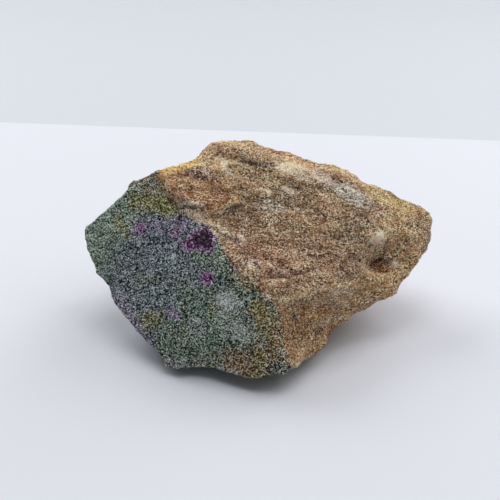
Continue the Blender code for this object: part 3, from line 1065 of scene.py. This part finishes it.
class Graph:
    """A material's nodes, made a few at a time.

    Attributes:
        material: The material.
        tree: Its nodes.
        shader: The node that shades the surface.
    """

    def __init__(self, name: str) -> None:
        """Starts a material.

        Args:
            name: The material's name.
        """
        self.material = bpy.data.materials.new(name)
        self.material.use_nodes = True
        self.tree = self.material.node_tree
        self.shader = self.tree.nodes["Principled BSDF"]

    def link(self, source: Socket, target: bpy.types.NodeSocket) -> None:
        """Joins a node's output to an input, or sets the input where the source is a value.

        Args:
            source: The output, or the value.
            target: The input.
        """
        if isinstance(source, bpy.types.NodeSocket):
            self.tree.links.new(source, target)
        else:
            target.default_value = source

    def add(self, kind: str, **inputs: Socket) -> bpy.types.Node:
        """Adds a node.

        Args:
            kind: The node's type in Blender.
            **inputs: What feeds each input, by the input's name.

        Returns:
            The node.
        """
        node = self.tree.nodes.new(kind)
        for name, source in inputs.items():
            self.link(source, node.inputs[name])
        return node

    def attribute(self, name: str) -> bpy.types.Node:
        """Reads a painted layer of the mesh.

        Args:
            name: The layer's name.

        Returns:
            The node that reads it.
        """
        node = self.add("ShaderNodeAttribute")
        node.attribute_name = name
        return node

    def math(self, operation: str, *values: Socket) -> bpy.types.NodeSocket:
        """Works out a sum of numbers.

        Args:
            operation: Blender's name for the sum.
            *values: The numbers that go in.

        Returns:
            The number that comes out.
        """
        node = self.add("ShaderNodeMath")
        node.operation = operation
        for target, source in zip(node.inputs, values):
            self.link(source, target)
        return node.outputs[0]

    def pick(self, place: Socket, grain: Grain) -> bpy.types.NodeSocket:
        """Fills space with grains and picks a number for each.

        Args:
            place: The places in space.
            grain: The size of grain.

        Returns:
            A number from 0 to 1, the same all over a grain.
        """
        node = self.add("ShaderNodeTexVoronoi", Vector=place)
        node.inputs["Scale"].default_value = 1.0 / (grain.size_mm * MM)
        return self.add("ShaderNodeSeparateColor", Color=node.outputs["Color"]).outputs["Red"]

    def lift(self, grains: tuple[tuple[Socket, Grain], ...]) -> Socket:
        """Adds up how far grains of several sizes lighten or darken the rock.

        Args:
            grains: The numbers picked for the grains, each with its size of grain.

        Returns:
            The step up or down.
        """
        total: Socket = 0.0
        for picked, grain in grains:
            total = self.math("MULTIPLY_ADD", self.math("SUBTRACT", picked, 0.5), grain.depth, total)
        return total

    def lifted(self, colour: Socket, lift: Socket) -> bpy.types.NodeSocket:
        """Lightens or darkens a colour by equal steps of red, green and blue as a screen shows them.

        Args:
            colour: The colour as linear light.
            lift: The step, less than nought to darken.

        Returns:
            The new colour as linear light.
        """
        shown = self.add("ShaderNodeGamma", Color=colour, Gamma=1.0 / SCREEN_GAMMA).outputs[0]
        parts = self.add("ShaderNodeSeparateColor", Color=shown)
        parts.mode = "HSV"
        depth, high = parts.outputs["Green"], parts.outputs["Blue"]
        low = self.math("MULTIPLY", high, self.math("SUBTRACT", 1.0, depth))
        step = self.math("MAXIMUM", lift, self.math("SUBTRACT", DARKEST, low))
        pale = self.math("MULTIPLY_ADD", self.math("SUBTRACT", high, low), -BLEACH, high)
        step = self.math("MINIMUM", step, self.math("SUBTRACT", PALEST, pale))
        kept = self.vector("MINIMUM", self.vector("ADD", shown, step), PALEST)
        return self.add("ShaderNodeGamma", Color=kept, Gamma=SCREEN_GAMMA).outputs[0]

    def vector(self, operation: str, first: Socket, second: Socket) -> bpy.types.NodeSocket:
        """Works out a sum of the three parts of two colours.

        Args:
            operation: Blender's name for the sum.
            first: The first colour.
            second: The second colour, or one number for all its parts.

        Returns:
            The colour that comes out.
        """
        node = self.add("ShaderNodeVectorMath")
        node.operation = operation
        self.link(first, node.inputs[0])
        self.link((second,) * 3 if isinstance(second, float) else second, node.inputs[1])
        return node.outputs[0]

    def stretched(self, place: Socket, turn: Matrix, stretch: float) -> bpy.types.NodeSocket:
        """Turns places into the crust's sheets and draws them out along the streaks.

        Args:
            place: The places in space.
            turn: Rotation from the world's axes to the crust's sheets.
            stretch: How many times longer things become along the streaks.

        Returns:
            The new places.
        """
        node = self.add("ShaderNodeMapping", Vector=place)
        node.vector_type = "TEXTURE"
        node.inputs["Rotation"].default_value = turn.to_euler()
        node.inputs["Scale"].default_value = (stretch, 1.0, 1.0)
        return node.outputs["Vector"]

    def noise(self, place: Socket, size_mm: float, detail: float, rough: float) -> Socket:
        """Fills space with soft noise.

        Args:
            place: The places in space.
            size_mm: Size of the noise's bumps.
            detail: How many times finer bumps lie on them.
            rough: How strong each finer layer is for the one before.

        Returns:
            A number from 0 to 1 at each place.
        """
        node = self.add("ShaderNodeTexNoise", Vector=place)
        node.inputs["Scale"].default_value = 1.0 / (size_mm * MM)
        node.inputs["Detail"].default_value = detail
        node.inputs["Roughness"].default_value = rough
        node.inputs["Distortion"].default_value = 0.5
        return node.outputs["Fac"]

    def blend(self, share: Socket, low: Socket, high: Socket) -> bpy.types.NodeSocket:
        """Blends two numbers.

        Args:
            share: Share of the second.
            low: The first number.
            high: The second number.

        Returns:
            The number between them.
        """
        node = self.add("ShaderNodeMix")
        for target, source in zip((node.inputs[0], node.inputs[2], node.inputs[3]), (share, low, high)):
            self.link(source, target)
        return node.outputs[0]

    def mix(self, share: Socket, low: Socket, high: Socket) -> bpy.types.NodeSocket:
        """Blends two colours.

        Args:
            share: Share of the second.
            low: The first colour.
            high: The second colour.

        Returns:
            The colour between them.
        """
        node = self.add("ShaderNodeMix")
        node.data_type = "RGBA"
        for target, source in zip((node.inputs[0], node.inputs[6], node.inputs[7]), (share, low, high)):
            self.link(source, target)
        return node.outputs[2]

    def ramp(self, source: Socket, stops: tuple[tuple[float, float], ...]) -> bpy.types.NodeSocket:
        """Bends a number along straight stretches.

        Args:
            source: The number, from 0 to 1.
            stops: Pairs of the number and what it becomes.

        Returns:
            The bent number.
        """
        node = self.add("ShaderNodeFloatCurve", Value=source)
        top = max(height for _, height in stops)
        curve = node.mapping.curves[0]
        while len(curve.points) < len(stops):
            curve.points.new(0.5, 0.5)
        for point, (along, height) in zip(curve.points, stops):
            point.location = (along, height / top)
            point.handle_type = "VECTOR"
        node.mapping.update()
        return self.math("MULTIPLY", node.outputs[0], top)

    def colours(self, source: Socket, stops: tuple[tuple[float, Paint], ...]) -> bpy.types.NodeSocket:
        """Turns a number into a colour between stops.

        Args:
            source: The number, from 0 to 1.
            stops: Pairs of the number and its colour.

        Returns:
            The colour.
        """
        node = self.add("ShaderNodeValToRGB", Fac=source)
        ramp = node.color_ramp
        while len(ramp.elements) < len(stops):
            ramp.elements.new(0.5)
        for element, (along, paint) in zip(ramp.elements, stops):
            element.position = along
            element.color = paint.socket()
        return node.outputs["Color"]


@dataclass
class Stone:
    """The lump of rock: its fine skin, relief, painted colours and finish.

    Attributes:
        camera: The camera whose pixels name places on the lump.
        border: The edge between the two rocks.
        green: The green rock.
        crust: The brown crust.
        rubies: The ruby spots.
        finish: The rock's finish.
        voxel_mm: Size of the skin's squares.
        smoothing: How many times the skin's facets are smoothed.
        foot_mm: Height above the floor up to which no relief is raised.
        hollow: The line under the front edge along which the underside is hollow.
        hollow_reach_mm: How far the hollow reaches from that line.
        hollow_depth_mm: How deep the hollow is.
        leans: The stretches of edge that lean toward the camera or away.
        toe: Where the camera sees the front toe.
        toe_reach_mm: How far around the toe the skin is rounded off.
        toe_smoothing: How many times it is smoothed there.
        green_mottle_mm: Distance between the green rock's blotches.
        crust_mottle_mm: Distance between the crust's blotches.
        mottle: How much of the ground colour a blotch hides.
        seam_cover: How much of the colour under it a seam hides with its painted shade or its pale,
            partly highlighted lip.
        lip_mm: How far a ledge's pale lip, partly painted highlight, and the painted shadow at its foot
            lie from its edge.
        green_painted_relief_shade: Painted shade and light: how much the green rock's relief darkens
            the painted colour in its hollows and lightens it on its rises.
        crust_painted_relief_shade: Painted shade and light: how much the crust's relief darkens the
            painted colour in its hollows and lightens it on its rises.
        green_clouds: How much the green rock's brightness drifts.
        crust_clouds: How much the crust's brightness drifts.
    """

    camera: Camera
    border: Border = field(default_factory=Border)
    green: GreenRock = field(default_factory=GreenRock)
    crust: Crust = field(default_factory=Crust)
    rubies: Rubies = field(default_factory=Rubies)
    finish: StoneFinish = field(default_factory=StoneFinish)
    voxel_mm: float = 0.59
    smoothing: int = 8
    foot_mm: float = 0.35
    hollow: tuple[Place, Place] = ((-30.0, -27.0, 1.0), (8.0, -29.0, 1.0))
    hollow_reach_mm: float = 11.0
    hollow_depth_mm: float = 4.5
    leans: tuple[Lean, ...] = (
        Lean(((232, 374), (278, 375)), 9.0, 4.5),
        Lean(((340, 334), (362, 314), (390, 290)), 16.0, -10.0),
    )
    toe: Pixel = (284.0, 376.0)
    toe_reach_mm: float = 5.0
    toe_smoothing: int = 30
    green_mottle_mm: float = 12.0
    crust_mottle_mm: float = 10.0
    mottle: float = 0.5
    seam_cover: float = 0.8
    lip_mm: float = 0.6
    green_painted_relief_shade: float = 0.25
    crust_painted_relief_shade: float = 0.3
    green_clouds: float = 0.6
    crust_clouds: float = 0.25

    def build(self) -> bpy.types.Object:
        """Makes the dressed lump and puts it in the place of the frame's solid.

        Returns:
            The dressed lump.
        """
        mesh = self.fine_skin(bpy.data.objects[NODE])
        skin = self.read(mesh)
        crust_share = self.border.crust(skin)
        green_relief, crust_relief = self.green.relief(skin), self.crust.relief(skin)
        crust_relief = crust_relief - crust_relief.mean()
        raised = green_relief + crust_share * (crust_relief - green_relief)
        tint = self.painted(skin, crust_share, green_relief, crust_relief)
        ruby = self.rubies.strength(skin) * (1.0 - crust_share)
        self.raise_skin(mesh, skin, raised)
        self.write(mesh, "tint", tint)
        calm = self.crust.calmness(skin)
        self.write(mesh, "kinds", np.stack((crust_share, ruby, calm), axis=1))
        turn = Matrix(self.crust.frame(skin).tolist())
        mesh.materials.clear()
        mesh.materials.append(self.finish.build(turn.transposed()))
        piece = bpy.data.objects.new(PIECE, mesh)
        bpy.context.scene.collection.objects.link(piece)
        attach(piece, BODY)
        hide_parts(NODE)
        return piece

    def fine_skin(self, solid: bpy.types.Object) -> bpy.types.Mesh:
        """Copies the solid and gives it an even skin of small squares.

        Args:
            solid: The frame's solid, which is left as it is.

        Returns:
            The new mesh.
        """
        merged = bmesh.new()
        merged.from_mesh(solid.data)
        merged.transform(solid.matrix_world)
        bmesh.ops.remove_doubles(merged, verts=merged.verts, dist=0.001 * MM)
        copy = bpy.data.meshes.new("skin_blank")
        merged.to_mesh(copy)
        merged.free()
        blank = bpy.data.objects.new("skin_blank", copy)
        bpy.context.scene.collection.objects.link(blank)
        remesh = blank.modifiers.new("even_squares", "REMESH")
        remesh.mode = "VOXEL"
        remesh.voxel_size = self.voxel_mm * MM
        remesh.use_smooth_shade = True
        evaluated = blank.evaluated_get(bpy.context.evaluated_depsgraph_get())
        mesh = bpy.data.meshes.new_from_object(evaluated)
        bpy.data.objects.remove(blank)
        bpy.data.meshes.remove(copy)
        soft = bmesh.new()
        soft.from_mesh(mesh)
        for _ in range(self.smoothing):
            bmesh.ops.smooth_vert(
                soft, verts=soft.verts, factor=0.5, use_axis_x=True, use_axis_y=True, use_axis_z=True
            )
        soft.to_mesh(mesh)
        soft.free()
        mesh.name = PIECE
        self.undercut(mesh)
        self.blunt(mesh)
        return mesh

    def blunt(self, mesh: bpy.types.Mesh) -> None:
        """Rounds off the lump's front toe.

        Args:
            mesh: The skin, which is changed.
        """
        near = self.read(mesh).around((self.toe,))
        soft = bmesh.new()
        soft.from_mesh(mesh)
        soft.verts.ensure_lookup_table()
        toe = [soft.verts[index] for index in np.flatnonzero(near < self.toe_reach_mm)]
        for _ in range(self.toe_smoothing):
            bmesh.ops.smooth_vert(
                soft, verts=toe, factor=0.5, use_axis_x=True, use_axis_y=True, use_axis_z=True
            )
        soft.to_mesh(mesh)
        soft.free()

    def undercut(self, mesh: bpy.types.Mesh) -> None:
        """Hollows the underside behind the front edge, and leans the edges that lean.

        Args:
            mesh: The skin, which is changed.
        """
        skin = self.read(mesh)
        near = skin.distance([np.array(place) for place in self.hollow]) / self.hollow_reach_mm
        faces_down = smooth_step(-0.45 - skin.normals[:, 2], 0.6)
        skin.points[:, 2] += self.hollow_depth_mm * faces_down * smooth_step(1.0 - near, 1.2)
        for lean in self.leans:
            held = smooth_step(1.0 - skin.around(lean.pixels) / lean.reach_mm, 1.4)
            skin.points -= (lean.toward_mm * held)[:, None] * np.array(self.camera.forward)
        mesh.vertices.foreach_set("co", (skin.points * MM).ravel())
        mesh.update()

    def read(self, mesh: bpy.types.Mesh) -> Skin:
        """Reads the skin's points and normals.

        Args:
            mesh: The skin's mesh.

        Returns:
            The skin.
        """
        count = len(mesh.vertices)
        points, normals = np.empty(count * 3), np.empty(count * 3)
        mesh.vertices.foreach_get("co", points)
        mesh.vertices.foreach_get("normal", normals)
        whole = bmesh.new()
        whole.from_mesh(mesh)
        tree = BVHTree.FromBMesh(whole)
        whole.free()
        return Skin(points.reshape(-1, 3) / MM, normals.reshape(-1, 3), tree, self.camera)

    def painted(
        self, skin: Skin, crust_share: np.ndarray, green_relief: np.ndarray, crust_relief: np.ndarray
    ) -> np.ndarray:
        """Paints every point of the skin.

        Args:
            skin: The skin of the lump.
            crust_share: The share of crust at each point.
            green_relief: Height of the green rock's relief.
            crust_relief: Height of the crust's relief.

        Returns:
            Linear red, green and blue for each point.
        """
        greens, browns = (Tint.SLATE, Tint.MOSS, Tint.DEEP_GREEN), (Tint.HONEY, Tint.ASH, Tint.SIENNA)
        green = self.mottled(skin, Tint.FUCHSITE, greens, self.green_mottle_mm)
        brown = self.mottled(skin, Tint.SCHIST, browns, self.crust_mottle_mm)
        for patch in self.green.patches:
            green = self.laid(skin, green, patch)
        for patch in self.crust.patches:
            brown = self.laid(skin, brown, patch)
        # Seams paint shade in cracks and under edges, and pale lips partly as highlight.
        for seam in self.crust.seams:
            near = skin.around(seam.pixels) + 0.5 * skin.ragged
            share = smooth_step(seam.width_mm - near, seam.width_mm)[:, None]
            brown = brown + self.seam_cover * share * (seam.tint.value.linear - brown)
        lie = skin.points @ self.crust.frame(skin).T
        # Each ledge gets a pale lip, partly painted highlight, and a painted shadow along its foot.
        for ledge in self.crust.ledges:
            side, _, taper = self.crust.beside(skin, lie, ledge)
            lip_highlight_and_foot_shadow, reach = taper * ledge.lip_highlight_and_foot_shadow, self.lip_mm
            lip = (lip_highlight_and_foot_shadow * smooth_step(reach - np.abs(side - reach), 0.8))[:, None]
            foot = (lip_highlight_and_foot_shadow * smooth_step(reach - np.abs(side + reach), 0.8))[:, None]
            brown = brown + lip * (Tint.CREAM.value.linear - brown)
            brown = brown + foot * (Tint.EARTH_AND_SHADE.value.linear - brown)
        clouds = wander(skin.points, 2.4, Offset.SMALL_CLOUDS)
        clouds = clouds + 0.7 * wander(skin.points, 5.5, Offset.BROAD_CLOUDS)
        # Painted shade and light from the relief: hollows are painted darker and rises lighter.
        green_painted_shade = 1.0 + self.green_painted_relief_shade * np.clip(green_relief, -1.0, 1.0)
        brown_painted_shade = 1.0 + self.crust_painted_relief_shade * np.clip(crust_relief, -1.0, 1.0)
        green = green * (green_painted_shade + self.green_clouds * clouds)[:, None]
        brown = brown * (brown_painted_shade + self.crust_clouds * clouds)[:, None]
        return green + crust_share[:, None] * (brown - green)

    def mottled(self, skin: Skin, ground: Tint, others: tuple[Tint, ...], spacing: float) -> np.ndarray:
        """Mottles a ground colour with others at random.

        Args:
            skin: The skin of the lump.
            ground: The colour under the rest.
            others: The colours of the blotches.
            spacing: Distance between blotches in millimetres.

        Returns:
            A colour for each point.
        """
        colour = np.tile(ground.value.linear, (len(skin.points), 1))
        for turn, other in enumerate(others):
            cloud = wander(skin.points, spacing, Offset.MOTTLES + 10.0 * turn) + 0.2 * skin.ragged
            share = self.mottle * smooth_step(cloud - 0.12, 0.3)[:, None]
            colour = colour + share * (other.value.linear - colour)
        return colour

    def laid(self, skin: Skin, colour: np.ndarray, patch: Patch) -> np.ndarray:
        """Lays one patch over the colour of every point.

        Args:
            skin: The skin of the lump.
            colour: The colour of each point before.
            patch: The patch.

        Returns:
            The colour of each point after.
        """
        share = patch.share * skin.cover(patch.pixels, patch.reach_mm, patch.soft)[:, None]
        return colour + share * (patch.tint.value.linear - colour)

    def raise_skin(self, mesh: bpy.types.Mesh, skin: Skin, raised: np.ndarray) -> None:
        """Moves the skin's points out by the relief, and keeps the foot flat on the floor.

        Args:
            mesh: The skin's mesh, which is changed.
            skin: The skin of the lump.
            raised: How far out each point moves, in millimetres.
        """
        low = smooth_step(skin.points[:, 2] - self.foot_mm * 2.0, self.foot_mm * 2.0)
        moved = skin.points + skin.normals * (raised * low)[:, None]
        moved[:, 2] = np.maximum(moved[:, 2], 0.0)
        moved[:, 2] = np.where(low <= 0.0, 0.0, moved[:, 2])
        mesh.vertices.foreach_set("co", (moved * MM).ravel())
        mesh.update()

    def write(self, mesh: bpy.types.Mesh, name: str, values: np.ndarray) -> None:
        """Stores three numbers for each point as a painted layer of the mesh.

        Args:
            mesh: The skin's mesh, which is changed.
            name: The layer's name.
            values: Three numbers for each point.
        """
        layer = mesh.attributes.new(name, "FLOAT_COLOR", "POINT")
        full = np.ones((len(values), 4))
        full[:, :3] = values
        layer.data.foreach_set("color", full.ravel())


@dataclass(frozen=True)
class Sheet:
    """A plain sheet of card under or behind the lump.

    Attributes:
        name: Its name.
        paint: Its colour.
        roughness: How matt it is.
    """

    name: str
    paint: Paint
    roughness: float = 0.6


@dataclass(frozen=True)
class Softbox:
    """A soft square lamp that points at the lump.

    Attributes:
        name: Its name.
        place_mm: Where it stands.
        size_mm: Its side.
        power: Its strength in watts.
    """

    name: str
    place_mm: Place
    size_mm: float
    power: float


@dataclass(frozen=True)
class Studio:
    """The pale sheets, soft lamps and even light around the lump.

    Attributes:
        camera: The camera, which sees where the sheets meet and where the lamps point.
        floor: The sheet under the lump.
        back: The sheet behind it.
        meeting: Where the camera sees the two ends of the line in which the sheets meet.
        reach_mm: How far the sheets reach.
        lamps: The soft lamps.
        sky: Colour of the even light.
        sky_strength: Strength of the even light.
    """

    camera: Camera
    floor: Sheet = Sheet("floor", Paint(231, 233, 240))
    back: Sheet = Sheet("back_sheet", Paint(216, 220, 226))
    meeting: tuple[Pixel, Pixel] = ((60.0, 124.5), (440.0, 138.5))
    reach_mm: float = 3000.0
    lamps: tuple[Softbox, ...] = (
        Softbox("overhead_lamp", (0.0, 0.0, 900.0), 450.0, 1.7),
        Softbox("left_back_lamp", (-495.0, 495.0, 630.0), 600.0, 3.9),
        Softbox("right_back_lamp", (495.0, 495.0, 630.0), 600.0, 3.1),
        Softbox("right_lamp", (525.0, 0.0, 750.0), 600.0, 1.9),
        Softbox("front_lamp", (300.0, -400.0, 800.0), 450.0, 0.2),
    )
    sky: Paint = Paint(214, 219, 228)
    sky_strength: float = 0.2

    def build(self) -> None:
        """Puts the sheets, lamps and even light in the scene."""
        left, right = (self.camera.floor_point(pixel) for pixel in self.meeting)
        line = (right - left).normalized()
        away = Vector((-line.y, line.x, 0.0))
        far = self.reach_mm * MM
        start, end = left - line * far, right + line * far
        self.lay(self.floor, (start - away * far, end - away * far, end, start))
        self.lay(self.back, (start, end, end + away * far, start + away * far))
        for lamp in self.lamps:
            self.hang(lamp)
        world = bpy.data.worlds.new("even_light")
        world.use_nodes = True
        background = world.node_tree.nodes["Background"]
        background.inputs["Color"].default_value = self.sky.socket()
        background.inputs["Strength"].default_value = self.sky_strength
        bpy.context.scene.world = world
        bpy.context.scene.view_settings.view_transform = "Standard"

    def lay(self, sheet: Sheet, corners: tuple[Vector, ...]) -> None:
        """Lays a flat sheet.

        Args:
            sheet: The sheet.
            corners: Its corners in metres, anticlockwise from above.
        """
        flat = bmesh.new()
        flat.faces.new([flat.verts.new(corner) for corner in corners])
        mesh = bpy.data.meshes.new(sheet.name)
        flat.to_mesh(mesh)
        flat.free()
        graph = Graph(sheet.name)
        graph.shader.inputs["Base Color"].default_value = sheet.paint.socket()
        graph.shader.inputs["Roughness"].default_value = sheet.roughness
        mesh.materials.append(graph.material)
        made = bpy.data.objects.new(sheet.name, mesh)
        bpy.context.scene.collection.objects.link(made)

    def hang(self, lamp: Softbox) -> None:
        """Hangs a lamp and points it at the lump.

        Args:
            lamp: The lamp.
        """
        data = bpy.data.lights.new(lamp.name, "AREA")
        data.shape = "SQUARE"
        data.size = lamp.size_mm * MM
        data.energy = lamp.power
        made = bpy.data.objects.new(lamp.name, data)
        made.location = Vector(lamp.place_mm) * MM
        toward = Vector(self.camera.target_mm) * MM - made.location
        made.rotation_euler = toward.to_track_quat("-Z", "Y").to_euler()
        bpy.context.scene.collection.objects.link(made)


def main() -> None:
    """Builds the studio and the lump."""
    logging.basicConfig(level=logging.INFO, format="%(name)s: %(message)s")
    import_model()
    camera = Camera()
    camera.build()
    Studio(camera).build()
    LOG.info("studio built")
    piece = Stone(camera).build()
    LOG.info("%s built with %d faces", piece.name, len(piece.data.polygons))


if __name__ == "__main__":
    main()
